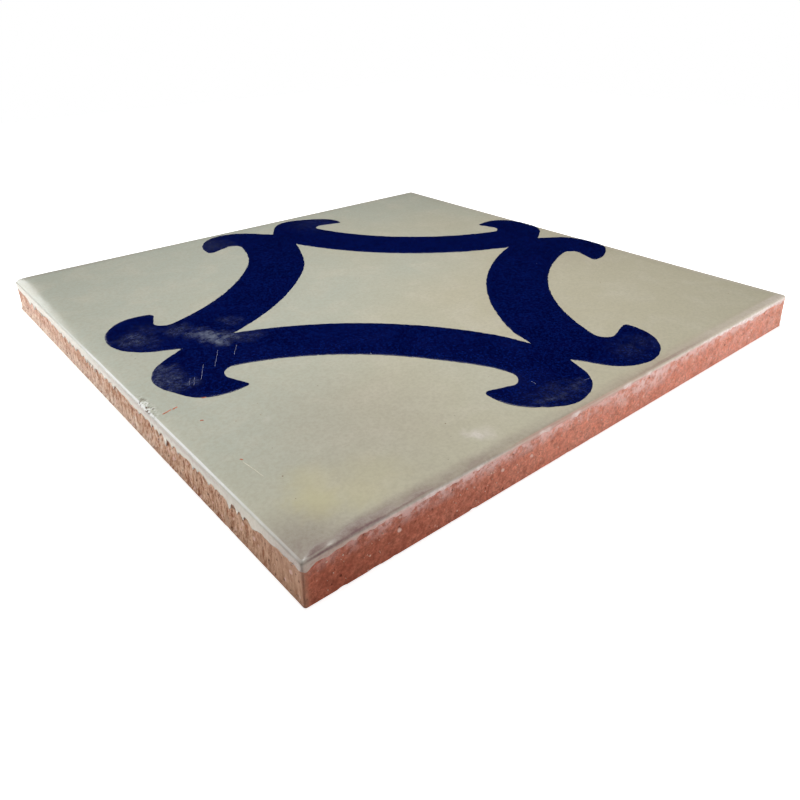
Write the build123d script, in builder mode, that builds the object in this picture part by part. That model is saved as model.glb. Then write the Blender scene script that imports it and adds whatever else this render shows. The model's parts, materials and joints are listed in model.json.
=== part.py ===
from build123d import *
import os
from math import cos, radians, sin, sqrt

# A square wall tile of fired clay, lying on its back with its glazed face up.
# The origin is at the middle of the underside, X and Y run along the sides.
# Sizes are in millimetres and angles in degrees.

# The clay square. Its face is flat in the middle, bends down in a shallow pillow near each
# side, and turns over into the side in a tight rounded edge.
tile_side = 105.0
tile_thickness = 6.35
corner_radius = 0.3
pillow_width = 4.0
pillow_radius = 50.0
glazed_edge_radius = 0.4
back_edge_break = 0.15

# The painted scrolls: four brackets of thick enamel, one facing each corner of the tile.
# Heights above the glaze and widths along it. "Out" is measured from the pattern's centre
# towards a side of the tile, "across" from the line that runs out to that side's middle.
enamel_rise = 0.15
pattern_drift_x = 1.8
scroll_margin = 1.6
arm_width = 11.8
cusp_depth = 17.4
head_radius = 8.4
head_spacing = 1.05
head_flank_angle = 34.0
hook_tip_angle = 14.5
hook_rise = 0.6
hook_throat_radius = 2.0
hook_tip_radius = 0.8

# The two arcs of the face's edge: their centres, measured from the middle of the underside,
# and the point where they touch
half_side = tile_side / 2
pillow_centre_x = half_side - pillow_width
pillow_centre_z = tile_thickness - pillow_radius
edge_centre_x = half_side - glazed_edge_radius
centres_apart = pillow_radius - glazed_edge_radius
edge_centre_z = pillow_centre_z + sqrt(centres_apart**2 - (edge_centre_x - pillow_centre_x) ** 2)
pillow_lean_x = (edge_centre_x - pillow_centre_x) / centres_apart
pillow_lean_z = (edge_centre_z - pillow_centre_z) / centres_apart

# What follows for the scrolls
scroll_reach = half_side - scroll_margin
cusp_out = scroll_reach - cusp_depth

# Both edges of an arm are arcs about the point that the tile's corner would have
# if the pattern were centred.
inner_arc_radius = sqrt(half_side**2 + (half_side - cusp_out) ** 2)
outer_arc_radius = inner_arc_radius - arm_width

# Each arm ends in a round head with a flat flank, which meets its neighbour's
# on the line to the middle of the side.
head_across = head_radius + head_spacing
head_out = scroll_reach - head_radius
flank = radians(head_flank_angle)
flank_across = head_across - head_radius * cos(flank)
flank_out = head_out + head_radius * sin(flank)
notch_out = flank_out - flank_across * cos(flank) / sin(flank)

# Under the head the outline turns back in a small hook.
hook_tip = radians(hook_tip_angle)
tip_across = head_across + head_radius * cos(hook_tip)
tip_out = head_out - head_radius * sin(hook_tip)
throat_out = head_out + hook_rise
throat_across = half_side - sqrt(outer_arc_radius**2 - (half_side - throat_out) ** 2)


def pillowed_slab(skin):
    """The tile's slab, with its whole face raised by a skin of even thickness."""
    top = tile_thickness + skin
    edge_radius = glazed_edge_radius + skin
    touch = (
        pillow_centre_x + (pillow_radius + skin) * pillow_lean_x,
        pillow_centre_z + (pillow_radius + skin) * pillow_lean_z,
    )
    with BuildPart() as slab:
        with BuildSketch():
            RectangleRounded(tile_side, tile_side, corner_radius)
        extrude(amount=top)
        for section_plane in (Plane.XZ, Plane.YZ):
            with BuildSketch(section_plane):
                with BuildLine():
                    Line((0, 0), (0, top))
                    Line((0, top), (pillow_centre_x, top))
                    RadiusArc((pillow_centre_x, top), touch, pillow_radius + skin)
                    RadiusArc(touch, (edge_centre_x + edge_radius, edge_centre_z), edge_radius)
                    Line((edge_centre_x + edge_radius, edge_centre_z), (edge_centre_x + edge_radius, 0))
                    Line((edge_centre_x + edge_radius, 0), (0, 0))
                make_face()
                mirror(about=Plane.YZ)
            extrude(amount=half_side, both=True, mode=Mode.INTERSECT)
    return slab.part


def on_diagonal(arc_radius):
    """The point where an arc about the corner crosses the bracket's line of symmetry."""
    along = half_side - arc_radius / sqrt(2)
    return along, along


# Half of one bracket, from the middle of a side to the diagonal
with BuildSketch() as half_bracket:
    with BuildLine():
        cusp = (0, cusp_out)
        notch = (0, notch_out)
        throat = (throat_across, throat_out)
        tip = (tip_across, tip_out)
        flank_end = (flank_across, flank_out)
        Line(notch, cusp)
        RadiusArc(cusp, on_diagonal(inner_arc_radius), -inner_arc_radius)
        Line(on_diagonal(inner_arc_radius), on_diagonal(outer_arc_radius))
        RadiusArc(on_diagonal(outer_arc_radius), throat, outer_arc_radius)
        Line(throat, tip)
        ThreePointArc(tip, (head_across, scroll_reach), flank_end)
        Line(flank_end, notch)
    make_face()
    fillet(half_bracket.vertices().sort_by_distance(throat)[0], hook_throat_radius)
    fillet(half_bracket.vertices().sort_by_distance(tip)[0], hook_tip_radius)

# Two halves, mirrored in the diagonal, make a bracket
with BuildSketch() as bracket:
    add(half_bracket.sketch)
    mirror(about=Plane(origin=(0, 0, 0), z_dir=(1, -1, 0)))

# Four brackets join into the ring
with BuildSketch() as scroll_ring:
    with PolarLocations(0, 4):
        add(bracket.sketch)

# The enamel is a skin over the glaze, so it follows the rounded edge where a scroll reaches it
with BuildPart() as enamel:
    add(pillowed_slab(enamel_rise))
    with BuildSketch(Plane.XY.offset(edge_centre_z)):
        with Locations((pattern_drift_x, 0)):
            add(scroll_ring.sketch)
    extrude(amount=tile_thickness + enamel_rise - edge_centre_z, mode=Mode.INTERSECT)

# The tile is fired as one piece: clay, glaze and enamel
with BuildPart() as tile:
    add(pillowed_slab(0))
    chamfer(tile.faces().sort_by(Axis.Z)[0].edges(), back_edge_break)
    add(enamel.part)

tile.part.label = "tile"

os.makedirs("parts", exist_ok=True)
export_step(tile.part, "parts/tile.step")
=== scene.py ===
# %% [markdown]
# # A glazed clay tile with a ring of blue scrolls
# The real tile is one slab of red clay. Its face is dipped in cream glaze, which rolls over the
# edge and sets in a ragged lip on the raw sides, and thick blue enamel is laid on the glaze.
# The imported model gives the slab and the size. This lesson makes the three things that the eye
# tells apart, the clay, the glaze and the enamel, as three closed meshes in the slab's place.

# %% Open the frame
import json
from math import asin, cos, hypot, pi, radians, sin, sqrt

import bpy
import numpy as np
from mathutils import Matrix, Vector, geometry, kdtree, noise

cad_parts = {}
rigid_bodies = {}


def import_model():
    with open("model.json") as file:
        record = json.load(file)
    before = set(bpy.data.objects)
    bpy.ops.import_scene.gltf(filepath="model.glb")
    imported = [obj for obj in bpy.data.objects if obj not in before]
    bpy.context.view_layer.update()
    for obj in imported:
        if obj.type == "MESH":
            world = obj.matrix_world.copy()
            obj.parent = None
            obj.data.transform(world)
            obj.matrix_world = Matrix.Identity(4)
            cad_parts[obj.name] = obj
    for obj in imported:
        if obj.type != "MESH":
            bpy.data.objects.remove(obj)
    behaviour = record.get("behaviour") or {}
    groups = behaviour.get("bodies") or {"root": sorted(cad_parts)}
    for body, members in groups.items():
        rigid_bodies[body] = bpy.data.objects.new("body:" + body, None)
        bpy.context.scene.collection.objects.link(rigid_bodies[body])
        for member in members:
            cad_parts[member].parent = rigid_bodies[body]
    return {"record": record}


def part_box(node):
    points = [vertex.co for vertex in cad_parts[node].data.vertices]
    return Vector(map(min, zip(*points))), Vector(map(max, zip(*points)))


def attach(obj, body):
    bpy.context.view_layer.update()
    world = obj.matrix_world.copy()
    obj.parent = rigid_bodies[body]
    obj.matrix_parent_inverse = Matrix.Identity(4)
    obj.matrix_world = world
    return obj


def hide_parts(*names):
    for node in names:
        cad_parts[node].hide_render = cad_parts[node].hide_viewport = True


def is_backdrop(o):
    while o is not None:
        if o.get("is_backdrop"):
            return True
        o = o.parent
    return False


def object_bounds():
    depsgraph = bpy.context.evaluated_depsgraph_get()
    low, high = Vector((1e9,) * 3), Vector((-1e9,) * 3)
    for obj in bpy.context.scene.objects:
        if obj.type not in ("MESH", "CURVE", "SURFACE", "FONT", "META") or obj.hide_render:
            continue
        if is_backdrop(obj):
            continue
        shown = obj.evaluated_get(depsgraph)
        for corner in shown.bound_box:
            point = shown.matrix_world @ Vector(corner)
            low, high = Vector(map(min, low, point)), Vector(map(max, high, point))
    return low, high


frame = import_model()
cad_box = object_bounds()
slots = [entry["slot"] for entry in frame["record"]["materials"]]
print("material slots:", slots)

# %% [markdown]
# ## Sizes
# Blender works in metres and a tile maker in millimetres, so every size here is written in
# millimetres and multiplied by MM where a mesh is made. The outer sizes come from the frame.
# The face is flat in the middle, bends down in a shallow pillow near each side and turns over
# into the side in a tight round edge.

# %% Read the outer sizes from the frame
MM = 0.001
half_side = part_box("tile")[1].x / MM
enamel_rise = 0.15
face_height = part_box("tile")[1].z / MM - enamel_rise
corner_radius = 0.3
pillow_width = 4.0
pillow_radius = 50.0
edge_radius = 0.4
flat_reach = half_side - pillow_width
edge_lean = asin((pillow_width - edge_radius) / (pillow_radius - edge_radius))
pillow_end = flat_reach + pillow_radius * edge_lean
edge_end = pillow_end + edge_radius * (pi / 2 - edge_lean)
print(f"side {2 * half_side:.2f} mm, face {face_height:.2f} mm high")


# %% Follow the face outwards
def face_profile(reach):
    """How far out and how high the face is, and its lean, reach mm along it from the middle."""
    reach = np.asarray(reach, float)
    beyond = np.maximum(reach - flat_reach, 0)
    pillow_turn = np.minimum(beyond / pillow_radius, edge_lean)
    past_pillow = np.maximum(beyond - pillow_radius * edge_lean, 0)
    lean = pillow_turn + np.minimum(past_pillow / edge_radius, pi / 2 - edge_lean)
    down_side = np.maximum(past_pillow - edge_radius * (pi / 2 - edge_lean), 0)
    out = np.minimum(reach, flat_reach) + pillow_radius * np.sin(pillow_turn)
    out = out + edge_radius * (np.sin(lean) - np.sin(pillow_turn))
    height = face_height - pillow_radius * (1 - np.cos(pillow_turn)) - down_side
    height = height - edge_radius * (np.cos(pillow_turn) - np.cos(lean))
    return out, height, lean


side_top = float(face_profile(edge_end)[1])
print(f"the face turns into the side at a height of {side_top:.2f} mm")


# %% Make soft waves and smooth steps
def ripples(places, size, seed):
    """Soft waves about size mm long, from -1 to 1, at many flat places."""
    return np.array([noise.noise((x / size, y / size, seed * 17.3)) for x, y in places])


def step_up(value, start, end):
    """0 up to start, 1 from end on, smooth between."""
    t = np.clip((np.asarray(value, float) - start) / (end - start), 0, 1)
    return t * t * (3 - 2 * t)


def window(value, rise_start, rise_end, fall_start, fall_end):
    """1 between a smooth rise and a smooth fall, 0 outside them."""
    return step_up(value, rise_start, rise_end) - step_up(value, fall_start, fall_end)


def patch(value, middle, width, core=0.0):
    """A soft patch along one direction: 1 out to core from its middle, 0 from width on."""
    return 1 - step_up(np.abs(value - middle), core, width)


wave_height = 0.04
wave_length = 19.0
left_sag = 0.2
sag_width = 3.8


def face_wave(places):
    """How far the hand-dipped face lies below a true plane."""
    return wave_height * (0.5 - 0.5 * ripples(places, wave_length, 3))


def sag(x):
    """How far the face sinks near the left side, where the slab was cut."""
    return left_sag * np.clip((sag_width - half_side - x) / sag_width, 0, 1) ** 2


print(f"the face sinks by {sag(-half_side):.2f} mm at the left side")

# %% [markdown]
# ## Rings
# The clay and the glaze are both stacks of rings: closed square loops of points with rounded
# corners, all with the same number of points, so that each ring joins the next in plain quads.
# Rings follow the edge all round, which lets the glaze's lip be ragged without any boolean.
# The points are a quarter of a millimetre apart, which is as fine as the teeth of the lip.
# On the real tile the far left corner is worn, so there the rings are pulled in.

# %% Walk round the tile
cells_per_side = 376
corner_steps = 4
side_outs = np.array([(0, -1), (1, 0), (0, 1), (-1, 0)], float)
side_ways = np.array([(1, 0), (0, 1), (-1, 0), (0, -1)], float)
points_per_side = cells_per_side + corner_steps
knocked_corner = np.array([-1, 1])
knocked_radius = 1.2


def square_ring(half, corner=corner_radius):
    """Points round a square with rounded corners, counter-clockwise from the near left end."""
    straight = half - corner
    points = []
    for out, way in zip(side_outs, side_ways):
        for along in np.linspace(-straight, straight, cells_per_side + 1):
            points.append(out * half + way * along)
        for step in range(1, corner_steps):
            turn = step / corner_steps * pi / 2
            points.append((out + way) * straight + corner * (out * cos(turn) + way * sin(turn)))
    points = np.array(points)
    middle = knocked_corner * (half - knocked_radius)
    from_middle = points - middle
    beyond = np.linalg.norm(from_middle, axis=1)
    in_corner = (from_middle * knocked_corner > 0).all(axis=1) & (beyond > knocked_radius)
    pulled_in = middle + from_middle * (knocked_radius / np.maximum(beyond, 0.01))[:, None]
    points[in_corner] = pulled_in[in_corner]
    return points


outer_ring = square_ring(half_side)
count = len(outer_ring)
ring_x, ring_y = outer_ring.T
ring_side = np.repeat(np.arange(4), points_per_side)
ring_outs = side_outs[ring_side]
ring_along = np.einsum("ij,ij->i", outer_ring, side_ways[ring_side])
ring_walk = np.r_[0, np.cumsum(np.linalg.norm(np.diff(outer_ring, axis=0), axis=1))]
print(count, "points in a ring,", round(float(ring_walk[-1]), 1), "mm round")


def by_side(near, right, far, left, blend=9.0):
    """One value for each point of a ring, run together over the last blend mm of each side."""
    values = np.array([near, right, far, left], float)
    here = values[ring_side]
    after = (here + values[(ring_side + 1) % 4]) / 2
    before = (here + values[(ring_side - 1) % 4]) / 2
    toward_after = (after - here) * step_up(ring_along, half_side - blend, half_side)
    toward_before = (before - here) * step_up(-ring_along, half_side - blend, half_side)
    return here + toward_after + toward_before


# %% Join rings into a closed skin
def join_rings(ring_total, first=0):
    """Quads between each ring and the next, facing outwards where rings run from the top down."""
    faces = []
    for upper in range(first, first + (ring_total - 1) * count, count):
        for j in range(count):
            k = (j + 1) % count
            faces.append((upper + count + j, upper + count + k, upper + k, upper + j))
    return faces


def bottom_face(first):
    """One face across the ring that starts at this point, facing down."""
    return tuple(range(first + count - 1, first - 1, -1))


def put_in_scene(name, data):
    """An object at the origin that shows a mesh, a lamp or a camera."""
    made = bpy.data.objects.new(name, data)
    bpy.context.scene.collection.objects.link(made)
    return made


def new_piece(name, points, faces, edges=()):
    """A mesh object with its place in its mesh. Points are in millimetres."""
    mesh = bpy.data.meshes.new(name)
    mesh.from_pydata((np.asarray(points, float) * MM).tolist(), edges, faces)
    mesh.validate()
    mesh.shade_smooth()
    return put_in_scene(name, mesh)


def keep_values(mesh, **values):
    """Stores one number for each vertex under each name, which nodes read by it."""
    for name, numbers in values.items():
        made = mesh.attributes.new(name, "FLOAT", "POINT")
        made.data.foreach_set("value", np.asarray(numbers, np.float32))


# %% Keep a flat layout on a piece
def keep_layout(mesh, places, hidden_faces, share=0.95, way=1):
    """Lays a piece out flat for painting into an image, its hidden faces small in a corner."""
    layer = mesh.uv_layers.new(name="OFBake")
    point_of_corner = np.empty(len(mesh.loops), int)
    mesh.loops.foreach_get("vertex_index", point_of_corner)
    across = places[point_of_corner] * (way, 1) / np.abs(places).max() / 2 + 0.5
    size = np.full((len(across), 1), share)
    start = np.zeros((len(across), 1))
    for index in hidden_faces:
        face = mesh.polygons[index]
        corners = slice(face.loop_start, face.loop_start + face.loop_total)
        size[corners] = 0.98 - share
        start[corners] = share + 0.01
    layer.data.foreach_set("uv", (start + across * size).astype(np.float32).ravel())


# %% [markdown]
# ## Nodes
# Geometry trees and materials are both node trees, so the same helpers add nodes to either.
# Inputs are given in order or by name, as plain values or as another node's output. A helper
# that gets an output finds the tree from it.

# %% Add nodes
def set_inputs(node, *ordered, **named):
    """Gives a node its inputs."""
    pairs = list(zip(node.inputs, ordered))
    pairs += [(node.inputs[label.replace("_", " ")], value) for label, value in named.items()]
    for socket, value in pairs:
        if isinstance(value, bpy.types.NodeSocket):
            node.id_data.links.new(value, socket)
        elif value is not None:
            socket.default_value = value
    return node


def make(tree, kind, settings=None, *ordered, **named):
    """A new node with its settings and inputs."""
    made = tree.nodes.new(kind)
    for label, value in (settings or {}).items():
        setattr(made, label, value)
    return set_inputs(made, *ordered, **named)


def add(tree, kind, settings=None, *ordered, **named):
    """The first output of a new node."""
    return make(tree, kind, settings, *ordered, **named).outputs[0]


def tree_of(*values):
    """The tree that the node outputs among these values belong to."""
    return next(value.id_data for value in values if isinstance(value, bpy.types.NodeSocket))


def calc(operation, first, second=0.0):
    """One sum, as a Math node."""
    return add(tree_of(first, second), "ShaderNodeMath", {"operation": operation}, first, second)


def plus(first, second):
    """One value and another."""
    return calc("ADD", first, second)


def minus(first, second):
    """One value less another."""
    return calc("SUBTRACT", first, second)


def times(first, *others):
    """The product of all the values."""
    for other in others:
        first = calc("MULTIPLY", first, other)
    return first


def vector(operation, first, *ordered, **named):
    """One sum of vectors or colours."""
    settings = {"operation": operation}
    return add(first.id_data, "ShaderNodeVectorMath", settings, first, *ordered, **named)


# %% Patterns and ramps
def ramp(value, start, end, to_start=0.0, to_end=1.0):
    """Turns a range of values into another, with smooth ends."""
    settings = {"interpolation_type": "SMOOTHSTEP"}
    return add(value.id_data, "ShaderNodeMapRange", settings, value, start, end, to_start, to_end)


def clouds(place, size, detail=3.0, rough=0.55, warp=0.0):
    """Noise with features about size mm across, from 0 to 1."""
    inputs = {"Scale": 1 / (size * MM), "Detail": detail, "Roughness": rough, "Distortion": warp}
    return add(place.id_data, "ShaderNodeTexNoise", None, place, **inputs)


def cells(place, size, feature="F1"):
    """A Voronoi pattern with cells about size mm across. Gives a distance and a random colour."""
    settings = {"feature": feature}
    scale = 1 / (size * MM)
    return make(place.id_data, "ShaderNodeTexVoronoi", settings, place, Scale=scale).outputs


def dots(place, size, start, end, strength, rarity, torn=None):
    """Round dots in some cells of a pattern: whole out to start, gone from end on."""
    distance, pick = cells(place, size)[:2]
    if torn is not None:
        distance = plus(distance, torn)
    return times(ramp(distance, start, end, strength, 0), calc("GREATER_THAN", pick, rarity))


# %% Start a geometry tree and run it
def start_tree(name, sizes):
    """A tree with a mesh and these named sizes in and a mesh out, and what it is given."""
    tree = bpy.data.node_groups.new(name, "GeometryNodeTree")
    kinds = {"Geometry": "NodeSocketGeometry"}
    for label, value in sizes.items():
        kinds[label] = "NodeSocketInt" if isinstance(value, int) else "NodeSocketFloat"
    for label, kind in kinds.items():
        tree.interface.new_socket(label, in_out="INPUT", socket_type=kind)
    tree.interface.new_socket("Geometry", in_out="OUTPUT", socket_type="NodeSocketGeometry")
    return tree, tree.nodes.new("NodeGroupInput").outputs


def end_tree(tree, shape, material):
    """Makes instances real, gives them their material and passes the shape out."""
    real = add(tree, "GeometryNodeRealizeInstances", None, shape)
    dressed = add(tree, "GeometryNodeSetMaterial", None, real, Material=material)
    make(tree, "NodeGroupOutput", None, dressed)


def run_tree(source, tree, sizes):
    """The plain mesh that the tree makes of an object, which is left as it was."""
    modifier = source.modifiers.new(tree.name, "NODES")
    modifier.node_group = tree
    for item in tree.interface.items_tree:
        if item.in_out == "INPUT" and item.name in sizes:
            modifier[item.identifier] = sizes[item.name]
    now = bpy.context.evaluated_depsgraph_get()
    made = bpy.data.meshes.new_from_object(source.evaluated_get(now), depsgraph=now)
    source.modifiers.remove(modifier)
    return made


# %% [markdown]
# ## Colours
# A screen colour from 0 to 255 isn't the share of light that a surface gives back, which is
# what a shader wants, so one helper turns the first into the second. A finish is built up as
# the real surface is: a ground colour, with thin layers laid over it where they belong.

# %% Turn screen colours into light
def tint(red, green, blue):
    """A linear colour from screen values."""
    shares = [value / 255 for value in (red, green, blue)]
    return (*(v / 12.92 if v < 0.043 else ((v + 0.055) / 1.055) ** 2.4 for v in shares), 1.0)


print("a mid grey screen colour gives back", round(tint(128, 128, 128)[0], 3), "of the light")


def mix(share, first, second):
    """The first colour, with the second laid over it by that share."""
    tree = tree_of(share, first, second)
    inputs = (share, *[None] * 5, first, second)
    return make(tree, "ShaderNodeMix", {"data_type": "RGBA"}, *inputs).outputs[2]


def lay_over(colour, *layers):
    """A colour with others laid over it in turn. Each layer is a share and a screen colour."""
    for share, *screen in layers:
        colour = mix(share, colour, tint(*screen))
    return colour


def start_material(name):
    """A material with its tree, its shader and the piece's own coordinates."""
    material = bpy.data.materials.new(name)
    material.use_nodes = True
    tree = material.node_tree
    place = tree.nodes.new("ShaderNodeTexCoord").outputs["Object"]
    return material, tree, tree.nodes["Principled BSDF"], place


def stored(tree, name):
    """A number kept on the mesh."""
    return make(tree, "ShaderNodeAttribute", {"attribute_name": name}).outputs["Fac"]


def relief(shader, height, depth):
    """Bump from a height between 0 and 1, where 1 stands depth mm above 0."""
    bump = add(height.id_data, "ShaderNodeBump", None, Distance=depth * MM, Height=height)
    set_inputs(shader, Normal=bump)


# %% [markdown]
# ## The clay's finish
# Red earthenware is gritty: crumbly clods of lighter and darker clay, fine cracks, pale lime
# specks and lumps, and pits. The cracks and pits are painted dark as the shade in them. The raw
# sides carry a haze of glaze that was wiped off but stayed in the pores, pinkish where it is thin.
# The left side was cut, so it is paler and scored by slanting grooves, with chalky dust along its
# foot. The mesh stores where the haze, the dust and the chalk lie, and the shader breaks them up
# with noise.

# %% Finish of the raw clay
score_lean = radians(-20)
score_stretch = (1.0, 1.0, 0.25)
clay_finish, tree, shader, place = start_material("fired clay")
mottle = clouds(place, 2.2, detail=5.0, rough=0.7)
clods = clouds(place, 0.8, detail=4.0, rough=0.65, warp=0.5)
grain = clouds(place, 0.45, rough=0.6)
crumb = clouds(place, 0.2, detail=2.0, rough=0.6)
patches = ramp(mottle, 0.35, 0.65)
# Painted shade and light: a shaded and a lit copy of the clay, mixed by the stored share light, so
# the clay is darker and redder towards the near corner and lighter towards the far ends of the
# near and left sides.
shaded_clay = mix(patches, tint(160, 88, 68), tint(178, 104, 82))
lit_clay = mix(patches, tint(204, 128, 106), tint(218, 146, 124))
brick = mix(stored(tree, "light"), shaded_clay, lit_clay)
shade = times(ramp(grain, 0.25, 0.75, 0.8, 1.18), ramp(crumb, 0.3, 0.7, 0.9, 1.14))
shade = times(shade, ramp(clods, 0.32, 0.62, 0.84, 1.1))
# Painted shade: the fine cracks are painted darker.
crack_distance = cells(place, 0.75, "DISTANCE_TO_EDGE")[0]
crack_shade = times(ramp(crack_distance, 0.01, 0.09, 1, 0), ramp(mottle, 0.48, 0.62), 0.3)
brick = vector("SCALE", brick, Scale=times(shade, minus(1.0, crack_shade)))
slanted = {"Rotation": (score_lean, 0, 0), "Scale": score_stretch}
slanted = add(tree, "ShaderNodeMapping", None, place, **slanted)
scores = clouds(slanted, 0.42, detail=5.0, rough=0.75)
scores = plus(times(minus(scores, 0.47), stored(tree, "scored")), 0.47)
# The white flecks follow the painted light too, fewer towards the near corner.
flecks = times(ramp(scores, 0.53, 0.63, 0, 0.95), stored(tree, "light"))
tan = mix(ramp(scores, 0.38, 0.56), tint(158, 106, 78), tint(222, 184, 156))
brick = mix(stored(tree, "dust"), brick, lay_over(tan, (flecks, 252, 238, 224)))
haze = ramp(clouds(place, 1.4, detail=6.0, rough=0.75), 0.4, 0.6)
haze = times(stored(tree, "haze"), plus(times(haze, 1.1), 0.15))
chalk = times(stored(tree, "chalk"), ramp(scores, 0.36, 0.56, 0.15, 1.0))
lime = dots(place, 1.1, 0.14, 0.3, 0.85, 0.66)
lumps = dots(place, 1.5, 0.14, 0.26, 0.85, 0.5, torn=times(minus(grain, 0.5), 0.25))
# Pits, painted dark as the shade in them.
pits = dots(place, 0.62, 0.12, 0.3, 1, 0.72)
brick = lay_over(
    brick,
    (haze, 240, 206, 200),
    (chalk, 246, 226, 208),
    (lime, 236, 200, 186),
    (lumps, 232, 196, 184),
    (times(pits, 0.55), 96, 50, 36),
)
dullness = ramp(grain, 0.3, 0.8, 0.92, 0.78)
set_inputs(shader, Base_Color=brick, Roughness=dullness, Specular_IOR_Level=0.2)
relief(shader, plus(minus(times(grain, 0.8), pits), times(scores, 0.5)), 0.12)
print(clay_finish.name, "has", len(tree.nodes), "nodes")

# %% [markdown]
# ## The clay body
# The slab under the glaze, a little inside the glaze's skin all round. Its sides are real
# relief and not only bump, because they are seen edge-on. A geometry tree presses pits and
# grooves into them by noise, less so near the upright corners, which stay crisp. The lower edge
# is chipped here and there.

# %% Rings of the clay body
clay_half = half_side - 0.1
clay_top = side_top + 0.3
back_break = 0.15
chip_depth = 0.14
ring_chips = np.maximum(0, ripples(outer_ring, 1.3, 11) - 0.35) * chip_depth / 0.3
side_levels = np.linspace(side_top - 0.6, back_break + 0.1, 22)
clay_rings = [
    (half_side - 3.0, 1.0, clay_top, 0.0),
    (half_side - 0.7, corner_radius, clay_top - 0.05, 0.0),
    (clay_half - 0.1, corner_radius, side_top, 0.0),
    (clay_half - 0.05, corner_radius, side_top - 0.3, 0.0),
]
clay_rings += [(clay_half, corner_radius, level, 0.0) for level in side_levels]
clay_rings += [
    (clay_half, corner_radius, back_break, 0.5),
    (clay_half - 0.4 * back_break, corner_radius, 0.35 * back_break, 1.0),
    (clay_half - back_break, corner_radius, 0.0, 1.0),
    (clay_half - 1.6, corner_radius, 0.0, 0.0),
]
clay_points = []
for half, corner, level, chipped in clay_rings:
    ring = square_ring(half, corner) - ring_outs * (ring_chips * chipped)[:, None]
    clay_points.append(np.c_[ring, np.full(count, level)])
clay_faces = [tuple(range(count))] + join_rings(len(clay_rings))
clay_faces.append(bottom_face((len(clay_rings) - 1) * count))
clay_body = new_piece("clay_body", np.concatenate(clay_points), clay_faces)
print("clay body:", len(clay_body.data.polygons), "faces")

# %% Press pits and grooves into the sides
relief_sizes = {"Pit Depth": 0.14 * MM, "Grain Depth": 0.16 * MM, "Groove Depth": 0.22 * MM,
                "Side Top": side_top * MM, "Side Foot": 0.3 * MM, "Seed": 5}
tree, given = start_tree("clay relief", relief_sizes)
spot = add(tree, "GeometryNodeInputPosition")
across, deep, height = make(tree, "ShaderNodeSeparateXYZ", None, spot).outputs
seeded = vector("ADD", spot, given["Seed"])
pressed_pits = times(dots(seeded, 0.9, 0.1, 0.5, 1, 0.6), given["Pit Depth"])
rough = times(ramp(clouds(seeded, 0.6), 0.3, 0.7), given["Grain Depth"])
tipped = add(tree, "ShaderNodeVectorRotate", {"rotation_type": "X_AXIS"}, seeded, Angle=score_lean)
tipped = vector("MULTIPLY", tipped, score_stretch)
grooves = times(ramp(clouds(tipped, 0.55, detail=2.0), 0.3, 0.7), given["Groove Depth"])
on_left = ramp(across, -half_side * MM, -(half_side - 1) * MM, 1, 0)
on_left = times(on_left, ramp(deep, -50 * MM, -36 * MM, 0.3, 1))
pressed = plus(plus(pressed_pits, rough), times(grooves, on_left))
from_corner = calc("MINIMUM", calc("ABSOLUTE", across), calc("ABSOLUTE", deep))
fade = ramp(from_corner, (half_side - 1.5) * MM, (half_side - 0.3) * MM, 1, 0.25)
below_top = calc("LESS_THAN", height, given["Side Top"])
within = times(below_top, calc("GREATER_THAN", height, given["Side Foot"]))
normal = add(tree, "GeometryNodeInputNormal")
offset = vector("SCALE", normal, Scale=times(pressed, fade, within, -1.0))
moved = add(tree, "GeometryNodeSetPosition", None, given["Geometry"], Offset=offset)
end_tree(tree, moved, clay_finish)
clay_body.data = run_tree(clay_body, tree, relief_sizes)
print("clay body pressed,", len(clay_body.data.vertices), "points")

# %% Lay the clay body out flat, its sides folded out round its underside
folded_out = [clay_rings[-1][0]]
for upper_ring, lower_ring in zip(clay_rings[-2::-1], clay_rings[:0:-1]):
    width = hypot(upper_ring[0] - lower_ring[0], upper_ring[2] - lower_ring[2])
    folded_out.append(folded_out[-1] + min(1.5, width))
clay_layout = [square_ring(reach) for reach in reversed(folded_out)]
keep_layout(clay_body.data, np.concatenate(clay_layout), [0], way=-1)
print(f"laid out {2 * folded_out[-1]:.0f} mm wide")

# %% Store where haze and dust lie on the clay, and its painted light and shade
clay_x, clay_y, clay_z = (np.array([vertex.co for vertex in clay_body.data.vertices]) / MM).T
around = np.arange(len(clay_x)) % count
near_side = by_side(1, 0.2, 0.2, 0, 1.0)[around]
left_side = by_side(0, 0, 0, 1, 1.0)[around]
hidden_side = by_side(0, 1, 1, 0)[around]
lip_haze = 0.62 * step_up(clay_z, side_top - 2.7, side_top - 0.5)
lip_haze = lip_haze * np.interp(clay_x, [-52, -45, -36, 36, 47], [0.3, 0.55, 1, 1, 0.7])
wide_haze = 0.8 * patch(clay_x, 8, 17) * step_up(clay_z, 1.2, side_top - 1.0)
pink_haze = 0.2 * step_up(clay_x, -30, 50)
left_haze = 0.08 * step_up(clay_z, 1.2, side_top) + 0.25 * step_up(clay_y, -5, 45)
haze = near_side * np.maximum(np.maximum(lip_haze, wide_haze), pink_haze)
haze = haze + left_side * left_haze + hidden_side * 0.4 * lip_haze
chalk = left_side * 0.75 * step_up(clay_y, -28, 12) * (1 - step_up(clay_z, 0.6, 2.9))
dust = left_side * 0.95 + hidden_side * 0.3
# Painted shade and light: low towards the near corner, high towards the far ends of the near and
# left sides, full on the hidden sides.
light = near_side * step_up(clay_x, -50, -2) + left_side * step_up(clay_y, -48, 0)
light = np.clip(np.maximum(light, hidden_side), 0, 1)
scored = 0.25 + 0.75 * step_up(clay_y, -50, -36)
for values, underneath in ((light, 0.7), (haze, 0.05), (dust, 0.3), (chalk, 0), (scored, 0.25)):
    values[-count:] = underneath
keep_values(clay_body.data, light=light, haze=haze, dust=dust, chalk=chalk, scored=scored)
print("haze on the clay up to", round(float(haze.max()), 2))
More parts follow.
